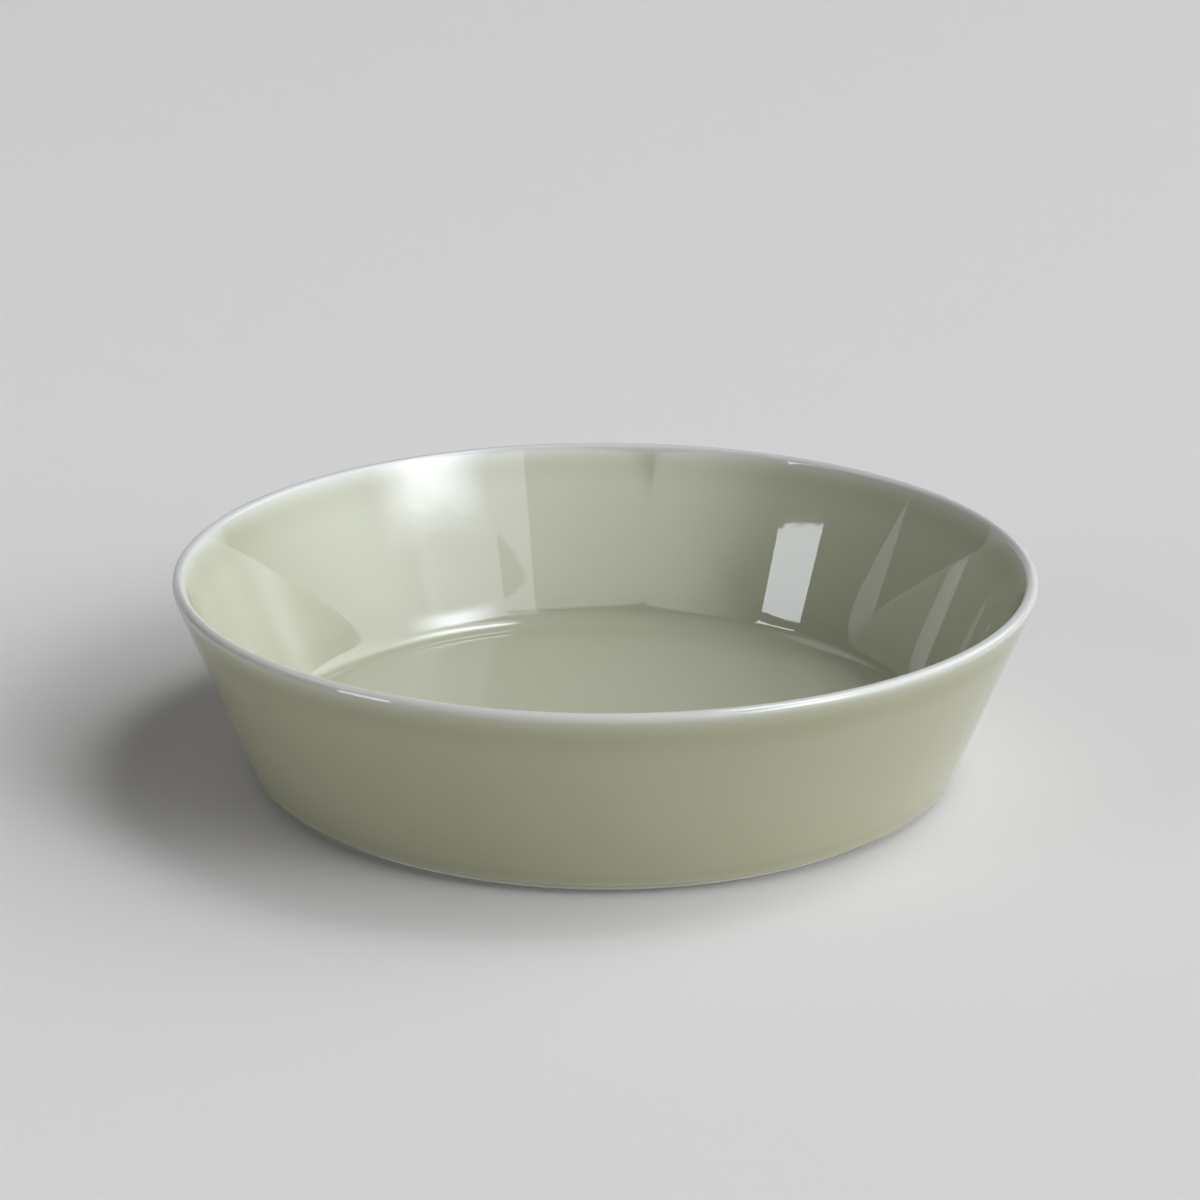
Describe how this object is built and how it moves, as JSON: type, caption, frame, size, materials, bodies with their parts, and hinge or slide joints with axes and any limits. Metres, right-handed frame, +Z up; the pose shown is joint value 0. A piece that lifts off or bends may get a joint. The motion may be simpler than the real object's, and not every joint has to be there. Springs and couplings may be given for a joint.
{
  "type": "soup plate",
  "caption": "Deep round soup plate without a flat rim: flat floor, rounded cove, straight flared wall, full round lip and a bare foot ring, in porcelain under a pale grey-green glaze.",
  "frame": {"origin": "middle of the foot ring, on the surface that the plate stands on", "axes": "+Z up along the plate's axis; X and Y are any two directions across it, because it is round"},
  "size_m": [0.21, 0.21, 0.05],
  "materials": {
    "porcelain": "white fired porcelain, bare and smooth-matte where it shows at the foot ring",
    "glaze": "glossy pale grey-green glaze that thins to white over the lip"
  },
  "bodies": {
    "root": {"porcelain_body": "porcelain", "inside_glaze": "glaze", "outside_glaze": "glaze", "underside_glaze": "glaze"}
  },
  "joints": []
}
